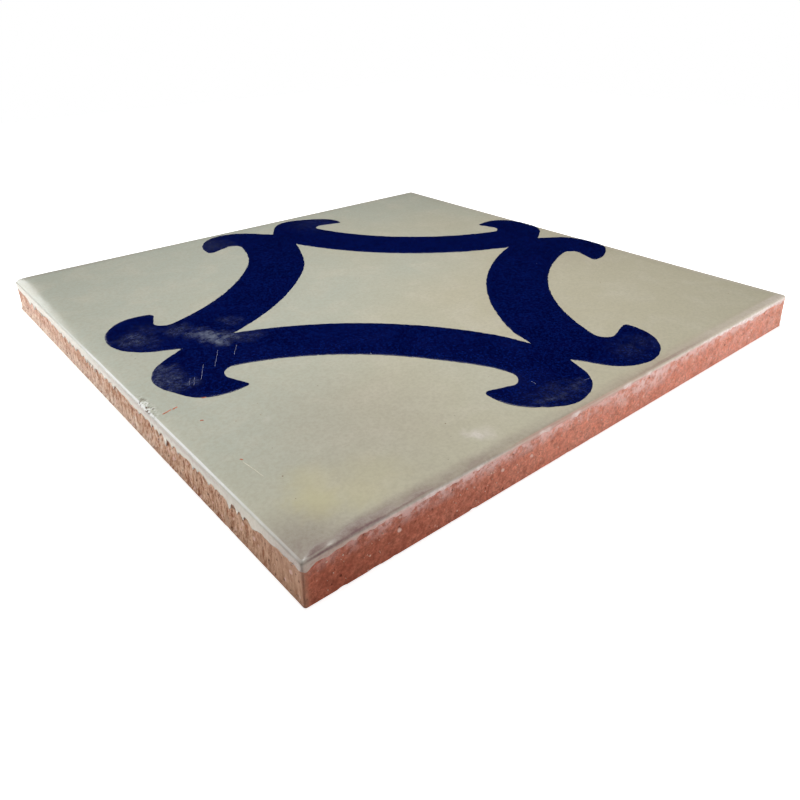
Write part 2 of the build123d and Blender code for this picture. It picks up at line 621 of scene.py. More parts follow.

# %% [markdown]
# ## The glaze's finish
# Tin glaze is never one flat cream: it clouds from cool and greenish to warm, carries pinholes,
# and goes pinkish and matt where it runs thin over the red clay at an edge. Under the clear
# surface it is very smooth, so the roughness is low, and a fine orange-peel bump breaks up the
# reflections. Along the left side's crest it is thick, with a painted highlight on it as a white
# line, and it is chipped in one place.

# %% Finish of the cream glaze
glaze_finish, tree, shader, place = start_material("cream glaze")
drift = clouds(place, 34.0, detail=2.0)
cloudy = clouds(place, 7.0, detail=4.0, rough=0.6, warp=0.6)
fleck = clouds(place, 0.5, rough=0.7)
warm = plus(stored(tree, "warm"), times(minus(drift, 0.5), 1.2))
# The share of thin glaze, which also carries painted shade on the face and along the left crest.
thin = times(stored(tree, "thin"), ramp(fleck, 0.2, 0.8, 0.8, 1.1))
bare = times(stored(tree, "bare"), ramp(fleck, 0.2, 0.8, 0.85, 1.1))
torn = ramp(clouds(place, 0.7, detail=4.0, rough=0.7), 0.35, 0.6, 0.45, 1.0)
worn_pick = cells(place, 0.28)[1]
worn = times(stored(tree, "worn"), calc("GREATER_THAN", worn_pick, 0.5))
chips = mix(calc("GREATER_THAN", worn_pick, 0.64), tint(112, 92, 76), tint(255, 255, 250))
holes = dots(place, 1.7, 0.03, 0.07, 1, 0.8)
cream = lay_over(
    mix(ramp(warm, 0.0, 1.0), tint(202, 206, 192), tint(210, 203, 178)),
    (ramp(cloudy, 0.4, 0.8, 0, 0.5), 224, 218, 200),
    (ramp(fleck, 0.35, 0.7, 0, 0.42), 190, 184, 161),
    (stored(tree, "stain"), 219, 211, 164),
    (thin, 140, 113, 112),
    (bare, 202, 150, 138),
    # Paler white glaze, and a painted glow on the near pillow towards its right end.
    (times(stored(tree, "bloom"), torn), 252, 242, 238),
    # Painted highlight: a white line along the left side's crest.
    (stored(tree, "gleam"), 255, 255, 252),
)
cream = lay_over(mix(worn, cream, chips), (times(holes, 0.6), 120, 108, 88))
matt = plus(times(bare, 0.4), ramp(thin, 0.45, 0.9, 0, 0.6))
set_inputs(shader, Base_Color=cream, Roughness=plus(ramp(cloudy, 0.3, 0.8, 0.15, 0.21), matt))
set_inputs(shader, Specular_IOR_Level=ramp(thin, 0.4, 0.85, 0.5, 0.08))
peel = plus(clouds(place, 2.4, detail=2.0), times(fleck, 0.12))
relief(shader, minus(peel, holes), 0.02)
print(glaze_finish.name, "has", len(tree.nodes), "nodes")

# %% [markdown]
# ## The glaze coat
# A skin over the face that rolls over the edge and ends in a lip on the clay. The face's flat
# middle is a plain grid. Rings take over near the edge, where four ring points meet each grid
# cell. Down the sides every ring point runs to its own lip height, so the lip is ragged: low
# waves, finer tears, and on the left side small teeth where the glaze ran.

# %% Where the lip lies
lip_drop = by_side(0.85, 1.3, 1.4, 1.7)
lip_drop += np.where(ring_side == 0, 0.35 * patch(ring_x, 40, 8, core=2), 0)
lip_swell = by_side(0.12, 0.3, 0.3, 0.2)
lip_tear = by_side(0.3, 0.3, 0.3, 0.25)
lip_teeth = by_side(0.15, 0.4, 0.4, 1.0)
tooth_pitch = 1.9
phase = (ring_walk / tooth_pitch + 1.3 * ripples(outer_ring, 4.5, 21)) % 1
tooth = np.maximum(0, 1 - np.abs(phase - 0.5) * 4.5) ** 0.8
tooth = tooth * np.maximum(0, 0.55 + 1.1 * ripples(outer_ring, 2.3, 25))
fine_tear = ripples(outer_ring, 1.7, 37) + 0.5 * ripples(outer_ring, 0.7, 39)
lip_drop = lip_drop + lip_swell * ripples(outer_ring, 13.0, 31) + lip_tear * fine_tear
lip = face_height - lip_drop - lip_teeth * tooth - 0.3 * sag(ring_x)
print(f"the lip hangs {face_height - lip.max():.2f} to {face_height - lip.min():.2f} mm down")

# %% Grid of the flat face
cell_count = cells_per_side // 4
steps = np.linspace(1.0 - flat_reach, flat_reach - 1.0, cell_count + 1)
grid = np.array([(x, y) for y in steps for x in steps])
glaze_parts = [np.c_[grid, face_height - face_wave(grid)]]
glaze_layout = [grid]
row = cell_count + 1
first_ring = row * row
glaze_faces = []
for corner in (j * row + i for j in range(cell_count) for i in range(cell_count)):
    glaze_faces.append((corner, corner + 1, corner + row + 1, corner + row))
order = np.arange(row * row).reshape(row, row)
rims_of_grid = [order[0], order[:, -1], order[-1, ::-1], order[::-1, 0]]
print("grid of the face:", len(glaze_faces), "faces")

# %% Rings of the glaze coat
glaze_skin = 0.06
ring_reach = []


def add_glaze_ring(ring, heights, laid_out, reach):
    """The glaze's next ring, with its place in the flat layout and how far out it is."""
    glaze_parts.append(np.c_[ring, heights])
    glaze_layout.append(laid_out)
    ring_reach.append(reach)


over_pillow = np.linspace(flat_reach, pillow_end, 9)[1:]
over_edge = np.linspace(pillow_end, edge_end, 8)[1:]
for reach in (flat_reach - 0.5, flat_reach, *over_pillow, *over_edge):
    out, height = map(float, face_profile(reach)[:2])
    ring = square_ring(out - glaze_skin * step_up(reach, flat_reach + 3.0, edge_end))
    wave = face_wave(ring) * (1 - step_up(reach, flat_reach, edge_end))
    heights = height - wave - sag(ring[:, 0])
    add_glaze_ring(ring, heights, square_ring(reach), reach)
ring_top = side_top - sag(ring_x)
edge_layout = square_ring(edge_end)
skin_ring = square_ring(half_side - glaze_skin)
bead_noise = 0.6 + 0.6 * ripples(outer_ring, 3.0, 41)
bead = np.clip(by_side(0.25, 0.7, 0.7, 0.9) * bead_noise, 0, 1) * glaze_skin
skirt_shape = [(0.2, 0.0), (0.4, 0.15), (0.6, 0.4), (0.8, 0.85), (0.93, 1.0), (1.0, 0.55)]
for share, swollen in skirt_shape:
    heights = ring_top + (lip - ring_top) * share
    ring = skin_ring + ring_outs * (bead * swollen)[:, None]
    laid_out = edge_layout + ring_outs * (ring_top - heights)[:, None]
    add_glaze_ring(ring, heights, laid_out, edge_end + share)
for sunk, heights in ((0.3, lip), (0.8, lip + 0.03), (1.2, np.full(count, side_top - 0.2))):
    laid_out = edge_layout + ring_outs * (ring_top - lip + sunk)[:, None]
    add_glaze_ring(square_ring(half_side - sunk), heights, laid_out, edge_end + 2)
print("the glaze has", len(ring_reach), "rings")

# %% Close the glaze coat
for side, rim in enumerate(rims_of_grid):
    start = first_ring + side * points_per_side
    rim = rim.tolist()
    for i in range(cell_count):
        glaze_faces.append((*range(start + 4 * i, start + 4 * i + 5), rim[i + 1], rim[i]))
    turn = [(side * points_per_side + cells_per_side + k) % count for k in range(corner_steps + 1)]
    glaze_faces.append((*(first_ring + k for k in turn), rim[-1]))
glaze_faces += join_rings(len(ring_reach), first_ring)
glaze_faces.append(bottom_face(first_ring + (len(ring_reach) - 1) * count))
glaze_points = np.concatenate(glaze_parts)
glaze_coat = new_piece("glaze_coat", glaze_points, glaze_faces)
glaze_coat.data.materials.append(glaze_finish)
keep_layout(glaze_coat.data, np.concatenate(glaze_layout), [len(glaze_faces) - 1])
print("glaze coat:", len(glaze_coat.data.polygons), "faces")


# %% Lay soft spots on points
def soft_spots(points, spots, roughness):
    """A value for each point from round spots (x, y, radius, strength) with torn outlines."""
    total = np.zeros(len(points))
    for x, y, radius, strength in spots:
        far = np.hypot(points[:, 0] - x, points[:, 1] - y) / radius
        near = np.flatnonzero(far < 1.6)
        torn = ripples(points[near, :2], 0.9, 51)
        value = strength * (1 - step_up(far[near] + roughness * torn, 0.2, 1.2))
        total[near] = np.maximum(total[near], value)
    return total


# %% [markdown]
# ## Where the glaze is thin, bare, white or stained
# All this is a matter of how far a point lies past the edge and where along its side it is. On
# the near side the glaze thins to grey-brown on the pillow, most of all at the near corner, and
# turns pink or white on the crest, white where it lies thick. The left side's crest carries a
# painted highlight, a bright line, with a line of painted shade under it. Broad painted shade
# darkens the face towards the near corner, and a painted glow lightens the near pillow towards
# its right end. A few yellow stains lie by the near corner.

# %% Store where the glaze is thin, stained or pale, and where light and shade are painted
stain_spots = [(-46.0, -45.5, 4.0, 0.5), (-44.5, -42.0, 3.5, 0.35), (-41.5, -47.5, 4.0, 0.3),
               (-38.0, -45.5, 5.0, 0.2)]
bloom_spots = [(-23.4, -47.6, 1.4, 0.8), (-22.0, -48.3, 1.8, 0.35), (-41.2, -27.0, 0.8, 0.4)]
# Painted shade: broad darker spots on the face, towards the near corner and by the right side.
thin_spots = [(-33.0, -36.0, 17.0, 0.14), (45.0, -8.0, 15.0, 0.08)]
white_patches = [(-35.2, 1.6), (-33.5, 1.2), (-27.4, 1.0), (-15.5, 1.6), (-9.0, 1.4), (2.8, 1.5),
                 (8.2, 1.2), (24.2, 2.2)]
glaze_x, glaze_y, glaze_z = glaze_points.T
thin, bare, gleam = np.zeros((3, len(glaze_points)))
bloom = 0.75 * soft_spots(glaze_points, bloom_spots, 0.5)
near_ring = by_side(1, 0.4, 0.25, 0.0, 1.2)
left_ring = by_side(0, 0, 0.2, 1, 1.2)
toward_corner = 1 - 0.75 * step_up(ring_x, -50, -10) - 0.2 * step_up(ring_x, 15, 35)
away = 0.15 * step_up(ring_x, -20, 20)
off_corner = 0.3 + 0.7 * step_up(ring_x, -51, -38)
# Painted glow: a paler band on the near side's pillow, growing towards the right end.
painted_glow_end = np.interp(ring_x, [12, 30, 44, 51], [0.0, 0.2, 0.28, 0.45])
near_dark = np.interp(ring_x, [-48, -30, -15, 0, 15, 22, 30], [0.25, 0.2, 0.4, 0.3, 0.7, 0.4, 0])
near_pink = np.interp(ring_x, [-24, -18, -10, 0, 10, 20], [0, 0.6, 0.7, 0.4, 0.2, 0])
near_light = np.interp(
    ring_x, [-47, -42, -30, -22, -15, 0, 8, 15, 25], [0, 0.3, 0.4, 0.15, 0, 0.05, 0.2, 0.45, 0.3]
)
# Painted highlight: how bright the white line on the left crest is, along the side.
left_gleam = np.interp(
    ring_y, [-50, -40, -30, 5, 15, 30, 50], [0.4, 0.75, 1.2, 1.2, 0.6, 0.4, 0.35]
)
# Painted shade: how dark the line under the left crest's painted highlight is, along the side.
left_painted_shade = np.interp(ring_y, [-42, -32, -15, 0, 12], [0.0, 0.45, 0.5, 0.45, 0.0])
white = 0.8 * np.interp(ring_x, [18, 27, 44, 50], [0, 0.95, 0.95, 0.6])
for middle, width in white_patches:
    white = np.maximum(white, 0.64 * patch(ring_x, middle, width, core=0.3 * width))
white = np.maximum(np.maximum(white, near_light), away)
for level, reach in enumerate(ring_reach):
    part = slice(first_ring + level * count, first_ring + (level + 1) * count)
    past = reach - edge_end
    torn = 0.8 + 0.4 * ripples(outer_ring, 3.0, 61 + 0.02 * level)
    pillow = step_up(reach, flat_reach + 1.2, edge_end - 0.5)
    thin_edge = 1.1 * toward_corner * pillow * torn * (1 - 0.4 * step_up(past, -0.3, 0.1))
    dark_line = near_dark * window(past, -0.95, -0.65, -0.45, -0.25)
    # A line of painted shade just past the left crest, and the painted highlight on the crest.
    painted_shade_line = left_painted_shade * window(past, -0.2, 0, 0.2, 0.6)
    painted_highlight_line = left_gleam * window(past, -0.62, -0.48, -0.34, -0.18)
    bare_band = np.maximum(0.9 * off_corner * step_up(past, -0.15, 0.3), away * pillow)
    bare_band = np.maximum(bare_band, near_pink * step_up(past, -0.55, -0.3))
    # Pale: a paler crest where the lists above say, and the painted glow on the pillow.
    pale = np.maximum(white * step_up(past, -0.4, 0), painted_glow_end * step_up(past, -2.0, -1.4))
    thin[part] = near_ring * np.maximum(thin_edge, dark_line) + left_ring * painted_shade_line
    gleam[part] = left_ring * painted_highlight_line * (0.6 + 0.5 * torn)
    bare[part] = near_ring * bare_band + left_ring * 0.15 * step_up(past, -0.3, 0)
    bloom[part] = np.maximum(bloom[part], near_ring * pale)
    if past > 1.5:
        bare[part], thin[part] = 1.0, 0.4
# Darker within 11 mm of the near corner: thin glaze there, and partly painted shade.
corner_far = np.hypot(glaze_x + half_side, glaze_y + half_side)
thin = np.maximum(thin, 0.54 * (1 - step_up(corner_far, 1, 11)))
thin = np.maximum(thin, soft_spots(glaze_points, thin_spots, 0.3))
warm = np.clip(0.5 + (0.4 * glaze_x - 0.6 * glaze_y) / 60, 0, 1)
stain = soft_spots(glaze_points, stain_spots, 0.35)
on_arris = step_up(-glaze_x, half_side - 1.5, half_side - 0.7) * (glaze_z > side_top - 0.05)
worn = on_arris * patch(glaze_y, -13.0, 5.0)
keep_values(glaze_coat.data, warm=warm, worn=worn, thin=thin, bare=bare, bloom=bloom)
keep_values(glaze_coat.data, gleam=gleam, stain=stain)
print(int((worn > 0).sum()), "points chipped,", int((stain > 0).sum()), "stained")

# %% [markdown]
# ## The enamel's finish
# Cobalt enamel is almost black until light gets into it. It is darker along its outline, where
# it pooled, and has a fine grain of lighter blue and a few pale pinholes. Where the tile was
# rubbed, the gloss is gone and the blue looks grey and hazy. The mesh stores the distance from
# the outline and the rubs.

# %% Finish of the cobalt enamel
cobalt_finish, tree, shader, place = start_material("cobalt enamel")
depth = clouds(place, 5.0, detail=4.0, rough=0.6)
fine = clouds(place, 0.35, rough=0.7)
rub = ramp(clouds(place, 1.3, detail=5.0, rough=0.75), 0.35, 0.7, 0.1, 1.0)
rub = times(stored(tree, "rub"), rub, ramp(fine, 0.25, 0.7, 0.5, 1.0))
blue = lay_over(
    mix(ramp(depth, 0.3, 0.7), tint(0, 2, 51), tint(0, 4, 63)),
    (ramp(fine, 0.42, 0.66, 0.0, 0.7), 4, 32, 108),
    (ramp(stored(tree, "inset"), 0.1, 1.0, 0.6, 0.0), 3, 16, 74),
    (rub, 106, 114, 136),
    (times(dots(place, 1.6, 0.03, 0.07, 1, 0.78), 0.5), 120, 124, 150),
)
dullness = plus(ramp(depth, 0.3, 0.8, 0.14, 0.24), times(rub, 0.4))
set_inputs(shader, Base_Color=blue, Roughness=dullness)
relief(shader, plus(clouds(place, 1.8, detail=2.0), times(fine, 0.2)), 0.02)
print(cobalt_finish.name, "has", len(tree.nodes), "nodes")

# %% [markdown]
# ## The enamel scrolls
# The ring is one half bracket laid down eight times, so only the half is drawn: two arcs about
# the tile's corner, a round head with a flat flank, and a hook under it with its throat and tip
# rounded off. A geometry tree mirrors the half, turns the bracket four times and welds the
# seams. The half is filled with small triangles, so that the enamel can swell a little and
# follow the face over the edge.

# %% Sizes of a scroll
pattern_drift = np.array([1.8, 0.0])
scroll_reach = half_side - 1.6
arm_width = 11.8
cusp_out = scroll_reach - 17.4
head_radius = 8.4
head_across = head_radius + 1.05
flank = radians(34.0)
hook_tip = radians(14.5)
hook_rise = 0.6
throat_radius = 2.0
tip_radius = 0.8
inner_radius = hypot(half_side, half_side - cusp_out)
outer_radius = inner_radius - arm_width
corner_point = np.array([half_side, half_side])
head_middle = np.array([head_across, scroll_reach - head_radius])
head_top = np.array([head_across, scroll_reach])
flank_end = head_middle + head_radius * np.array([-cos(flank), sin(flank)])
notch = np.array([0, flank_end[1] - flank_end[0] * cos(flank) / sin(flank)])
cusp = np.array([0, cusp_out])
tip = head_middle + head_radius * np.array([cos(hook_tip), -sin(hook_tip)])
throat_out = head_middle[1] + hook_rise
throat_across = half_side - sqrt(outer_radius**2 - (half_side - throat_out) ** 2)
throat = np.array([throat_across, throat_out])
print(f"a bracket spans {np.ptp([cusp_out, scroll_reach]):.1f} mm from its cusp to its heads")


# %% Round off the throat and the tip
def unit(way):
    """A direction one long."""
    return way / np.linalg.norm(way)


def square_to(way):
    """The same length, a quarter turn to the left."""
    return np.array([-way[1], way[0]])


def rounding(line_from, line_to, side, radius, circle, circle_radius, near):
    """An arc that touches a line and a circle: its middle, its touch, its way from the circle."""
    way = unit(line_to - line_from)
    shifted = line_from + radius * side * square_to(way)
    toward = shifted - circle
    along = -toward @ way
    half_chord = sqrt(circle_radius**2 - (toward @ toward - along**2))
    both = (shifted + way * (along + s * half_chord) for s in (-1, 1))
    middle = min(both, key=lambda point: np.linalg.norm(point - near))
    return middle, middle - radius * side * square_to(way), unit(middle - circle)


def arc(middle, start, end, spacing=0.3):
    """Points on the short arc about middle from start to end."""
    a, b = (np.arctan2(*(p - middle)[::-1]) for p in (start, end))
    turn = (b - a + pi) % (2 * pi) - pi
    radius = np.linalg.norm(start - middle)
    steps = max(2, round(abs(turn) * radius / spacing))
    angles = [a + turn * t for t in np.linspace(0, 1, steps + 1)]
    return [middle + radius * np.array([cos(angle), sin(angle)]) for angle in angles]


def straight(start, end, spacing=0.3):
    """Points on a line."""
    steps = max(1, round(np.linalg.norm(end - start) / spacing))
    return [start + (end - start) * t for t in np.linspace(0, 1, steps + 1)]


throat_circle = outer_radius - throat_radius
throat_middle, throat_on_line, throat_away = rounding(
    throat, tip, -1, throat_radius, corner_point, throat_circle, throat
)
throat_on_arc = corner_point + throat_away * outer_radius
tip_middle, tip_on_line, tip_away = rounding(
    throat, tip, 1, tip_radius, head_middle, head_radius - tip_radius, tip
)
tip_on_head = head_middle + tip_away * head_radius
print("throat rounded from", np.round(throat_on_arc, 2), "to", np.round(throat_on_line, 2))

# %% Draw the half bracket
inner_end = corner_point - inner_radius / sqrt(2)
outer_end = corner_point - outer_radius / sqrt(2)
painted_runs = [
    arc(corner_point, outer_end, throat_on_arc),
    arc(throat_middle, throat_on_arc, throat_on_line),
    straight(throat_on_line, tip_on_line),
    arc(tip_middle, tip_on_line, tip_on_head),
    arc(head_middle, tip_on_head, head_top),
    arc(head_middle, head_top, flank_end),
    straight(flank_end, notch),
    arc(corner_point, cusp, inner_end),
]
runs_in_turn = [*painted_runs[:-1], straight(notch, cusp, 0.6), painted_runs[-1],
                straight(inner_end, outer_end, 0.6)]
outline = [point for run in runs_in_turn for point in run[:-1]]
print("half bracket:", len(outline), "points round it")


# %% Fill the half bracket with triangles
def distance_to(places):
    """A function that gives a flat point's distance to the nearest of these places."""
    tree = kdtree.KDTree(len(places))
    for number, place in enumerate(places):
        tree.insert((*place, 0), number)
    tree.balance()
    return lambda point: tree.find((*point, 0))[2]


inset = distance_to([point for run in painted_runs for point in run])


def inside(point):
    """True if the point lies within the half bracket."""
    x, y = point
    hits = False
    for a, b in zip(outline, outline[1:] + outline[:1]):
        if (a[1] > y) != (b[1] > y) and x < a[0] + (y - a[1]) * (b[0] - a[0]) / (b[1] - a[1]):
            hits = not hits
    return hits


rows_by_the_rim = (0.12, 0.3, 0.6)
clear_of_rim = 0.85
mesh_step = 0.75
row_step = 0.87 * mesh_step
fill = []
for run in painted_runs:
    for a, b in zip(run[:-1], run[1:]):
        for row_inset in rows_by_the_rim:
            for side in (-1, 1):
                point = (a + b) / 2 + side * row_inset * square_to(unit(b - a))
                if inset(point) > 0.9 * row_inset and inside(point):
                    fill.append(point)
for j in range(int(scroll_reach / row_step) + 1):
    for i in range(int(2 * head_across / mesh_step) + 30):
        point = np.array([(i + 0.5 * (j % 2)) * mesh_step, j * row_step])
        clear_of_seams = point[0] > 0.3 and point[1] - point[0] > 0.4
        if clear_of_seams and inside(point) and inset(point) > clear_of_rim:
            fill.append(point)
flat_points = [Vector(point) for point in outline + fill]
result = geometry.delaunay_2d_cdt(flat_points, [], [list(range(len(outline)))], 1, 1e-5)
half_points = [(*point, 0) for point in result[0]]
half_bracket = new_piece("half_bracket", half_points, [tuple(face) for face in result[2]])
print("half bracket:", len(half_points), "points,", len(result[2]), "triangles")

# %% Mirror the half and turn it round the ring
ring_sizes = {"Brackets": 4, "Weld": 0.02 * MM}
tree, given = start_tree("scroll ring", ring_sizes)
swap = {"Scale": (1, -1, 1), "Rotation": (0, 0, pi / 2)}
swapped = add(tree, "GeometryNodeTransform", None, given["Geometry"], **swap)
swapped = add(tree, "GeometryNodeFlipFaces", None, swapped)
both = tree.nodes.new("GeometryNodeJoinGeometry")
for half in (given["Geometry"], swapped):
    tree.links.new(half, both.inputs[0])
middle = add(tree, "GeometryNodePoints", None, given["Brackets"])
turn = times(add(tree, "GeometryNodeInputIndex"), calc("DIVIDE", 2 * pi, given["Brackets"]))
turned = {"Instance": both.outputs[0], "Rotation": add(tree, "ShaderNodeCombineXYZ", None, Z=turn)}
placed = add(tree, "GeometryNodeInstanceOnPoints", None, middle, **turned)
real = add(tree, "GeometryNodeRealizeInstances", None, placed)
welded = add(tree, "GeometryNodeMergeByDistance", None, real, Distance=given["Weld"])
end_tree(tree, welded, cobalt_finish)
ring_mesh = run_tree(half_bracket, tree, ring_sizes)
bpy.data.objects.remove(half_bracket)
print("scroll ring:", len(ring_mesh.vertices), "points")

# %% [markdown]
# ## Lay the enamel on the glaze
# The flat ring is moved to its place, with the small drift that a hand left in it: the whole
# ring sits off centre, and one head slipped a millimetre. The brush also strayed here and there,
# which a short list of nudges copies: where on the ring, how far it strayed and how wide. Each
# point then goes onto the face by its distance along it, so a scroll that reaches the edge bends
# over with it. A second layer, just under the glaze, closes the enamel from below.

# %% Let the ring stray
flat = np.array([vertex.co for vertex in ring_mesh.vertices])[:, :2] / MM + pattern_drift
ring_faces = [tuple(face.vertices) for face in ring_mesh.polygons]
edge_use = {}
for face in ring_faces:
    for edge in map(frozenset, zip(face, face[1:] + face[:1])):
        edge_use[edge] = edge_use.get(edge, 0) + 1
on_rim = np.zeros(len(flat), bool)
on_rim[[i for edge, uses in edge_use.items() if uses == 1 for i in edge]] = True
inset_of = np.array(list(map(distance_to(flat[on_rim]), flat)))
slipped_head = np.array([-7.35, -41.9])
slip = np.array([1.25, -0.6])
slip_reach = 10.5
far = np.linalg.norm(flat - slipped_head, axis=1)
flat = flat + slip * (1 - step_up(far, 0.35 * slip_reach, 1.6 * slip_reach))[:, None]
nudges = [
    (-48.6, -12.7, 0.8, 0.1, 4.0), (-40.1, -11.4, 0.5, -0.4, 3.5), (-39.1, -17.4, 0.45, 0.2, 3.0),
    (-39.0, 16.6, 0.0, -1.1, 3.0), (-42.0, -0.2, 0.85, 0.15, 2.0), (-12.1, 31.1, 0.45, -0.4, 8.0),
    (-5.4, 19.8, 0.3, -0.3, 8.0), (-15.3, 45.7, 0.2, -0.5, 5.0), (0.0, 49.5, -0.5, -0.9, 6.0),
    (15.3, 49.8, -1.0, -1.5, 6.0), (-8.1, -42.2, -0.75, 0.3, 3.0), (-11.7, -49.8, 0.3, 0.25, 4.0),
    (2.5, -43.9, -0.4, 1.2, 2.2), (2.1, -33.4, -0.1, -1.4, 2.2), (49.0, -16.3, 0.25, 0.9, 4.0),
    (42.8, 17.3, 0.4, -1.1, 5.0), (-12.1, -48.9, 0.3, 0.4, 0.35),
]
strayed = np.zeros_like(flat)
for x, y, move_x, move_y, width in nudges:
    share = np.exp(-((flat[:, 0] - x) ** 2 + (flat[:, 1] - y) ** 2) / width**2)
    strayed += share[:, None] * np.array([move_x, move_y])
flat = flat + strayed
wobble = np.c_[ripples(flat, 9.0, 71), ripples(flat, 9.0, 73)]
tremble = np.c_[ripples(flat, 0.9, 75), ripples(flat, 0.9, 77)]
flat = flat + 0.05 * wobble + 0.1 * tremble
print("points on the rim:", int(on_rim.sum()))


# %% Drape the ring
def on_face(spots, rise):
    """Flat points laid onto the face along its surface, lifted by rise mm square to it."""
    out, height, lean = face_profile(np.abs(spots))
    index = np.arange(len(spots))
    axis = height.argmin(axis=1)
    lean = lean[index, axis]
    settle = 1 - step_up(np.abs(spots).max(axis=1), flat_reach, edge_end)
    wave = face_wave(spots) * settle + sag(spots[:, 0])
    place = np.c_[np.sign(spots) * out, height[index, axis] - wave]
    place[index, axis] += np.sign(spots[index, axis]) * np.sin(lean) * rise
    place[:, 2] += np.cos(lean) * rise
    limit = half_side - 0.02
    place[:, :2] = np.clip(place[:, :2], -limit, limit)
    return place


total = len(flat)
swell = 0.2 + 0.6 * step_up(inset_of, -0.1, 0.8) + 0.08 * step_up(inset_of, 0.4, 2.5)
top = on_face(flat, np.where(on_rim, 0.01, enamel_rise * swell))
under = on_face(flat, np.full(total, -0.06))
under_index = np.arange(total)
under_index[~on_rim] = total + np.arange(int((~on_rim).sum()))
enamel_points = np.r_[top, under[~on_rim]]
under_faces = [tuple(int(under_index[i]) for i in reversed(face)) for face in ring_faces]
cobalt_scrolls = new_piece("cobalt_scrolls", enamel_points, ring_faces + under_faces)
cobalt_scrolls.data.materials.append(cobalt_finish)
hidden_faces = range(len(ring_faces), 2 * len(ring_faces))
keep_layout(cobalt_scrolls.data, np.r_[flat, flat[~on_rim]], hidden_faces, share=0.88)
print("cobalt scrolls:", len(cobalt_scrolls.data.polygons), "faces")

# %% Store the inset and the rubs
rub_spots = [
    (-35.2, 1.3, 2.3, 2.2), (-34.6, -1.2, 2.1, 1.9), (-36.4, 3.6, 2.4, 0.7),
    (-32.8, -1.0, 2.4, 0.7), (-38.3, 7.0, 2.6, 0.4), (-30.2, -2.5, 3.0, 0.25),
    (-29.9, 4.7, 2.2, 0.25), (-45.6, 8.5, 3.0, 0.5), (-44.4, 6.0, 3.0, 0.25),
    (-42.6, 10.5, 3.0, 0.15), (-46.8, -5.6, 2.8, 0.6), (-47.0, -8.6, 2.8, 0.6),
    (-46.9, -10.8, 2.2, 0.45), (-44.4, -11.6, 1.3, 0.5), (-7.4, -48.0, 3.6, 0.14),
    (-4.4, -48.6, 3.0, 0.12), (-11.0, -46.8, 3.0, 0.05), (11.1, -46.8, 3.6, 0.12),
    (15.2, -46.6, 3.2, 0.12), (-33.0, 17.0, 6.0, 0.1), (-30.0, 26.0, 7.0, 0.1),
    (-14.0, 45.0, 6.0, 0.3), (15.0, 44.0, 8.0, 0.15),
]
rub_spots += [(-11.0 + 1.1 * i, -48.0 - 0.7 * sin(i / 2.4), 0.75, 0.42) for i in range(9)]
rub = soft_spots(enamel_points, rub_spots, 0.6)
keep_values(cobalt_scrolls.data, inset=np.r_[inset_of, inset_of[~on_rim]], rub=rub)
print(int((rub > 0).sum()), "points rubbed")

# %% [markdown]
# ## Grit, specks and strokes
# Small real grains catch the light where bump can't. A scatter tree strews low stones over a
# mesh, as thickly as a number stored on it says. Strokes, such as a smear of red clay or a
# scratch in the blue, are thin tubes sunk almost to their top, made by a tree that gives a path
# its thickness.


# %% Strew grains over a mesh
def strew(name, source, shares, material, flatness, sizes):
    """A piece of grains on a mesh, as dense as its share for each point times a given density."""
    tree, given = start_tree(name, sizes)
    share = add(tree, "GeometryNodeInputNamedAttribute", {"data_type": "FLOAT"}, "strew")
    drawn = {"Density": times(share, given["Grains Per Area"]), "Seed": given["Seed"]}
    spread = make(tree, "GeometryNodeDistributePointsOnFaces", None, given["Geometry"], **drawn)
    stone = add(tree, "GeometryNodeMeshIcoSphere", None, Radius=1.0, Subdivisions=2)
    stone = add(tree, "GeometryNodeTransform", None, stone, Scale=(1.0, 1.0, flatness))
    size = make(tree, "FunctionNodeRandomValue", {"data_type": "FLOAT"}, None, None,
                given["Smallest"], given["Largest"], Seed=given["Seed"])
    wide = make(tree, "FunctionNodeRandomValue", {"data_type": "FLOAT_VECTOR"},
                (0.6, 0.6, 0.8), (1.3, 1.1, 1.2))
    laid = {"Instance": stone, "Rotation": spread.outputs["Rotation"]}
    laid["Scale"] = vector("SCALE", wide.outputs[0], Scale=size.outputs[1])
    grains = add(tree, "GeometryNodeInstanceOnPoints", None, spread.outputs["Points"], **laid)
    end_tree(tree, add(tree, "GeometryNodeSetShadeSmooth", None, grains), material)
    keep_values(source.data, strew=shares)
    mesh = run_tree(source, tree, sizes)
    source.data.attributes.remove(source.data.attributes["strew"])
    print(name, "has", len(mesh.polygons), "faces")
    return put_in_scene(name, mesh)


# %% Finish of grains and strokes
def small_finish(name, first, second, size, rough):
    """A plain mottled finish for things a fraction of a millimetre across."""
    material, _, shader, place = start_material(name)
    shade = clouds(place, size, detail=2.0)
    colour = mix(ramp(shade, 0.35, 0.65), tint(*first), tint(*second))
    set_inputs(shader, Base_Color=colour, Roughness=ramp(shade, 0.3, 0.7, rough, rough - 0.15))
    relief(shader, shade, 0.02)
    print(name, "has", len(material.node_tree.nodes), "nodes")
    return material


lime_finish = small_finish("lime grit", (236, 208, 192), (214, 160, 138), 1.5, 0.85)
speck_finish = small_finish("kiln specks", (140, 118, 92), (168, 150, 122), 2.0, 0.5)
smear_finish = small_finish("clay smears", (196, 96, 62), (214, 130, 96), 0.8, 0.8)
scratch_finish = small_finish("pale scratches", (96, 98, 128), (176, 176, 188), 0.5, 0.6)
scored_finish = small_finish("scored glaze", (208, 203, 184), (230, 226, 208), 0.5, 0.6)

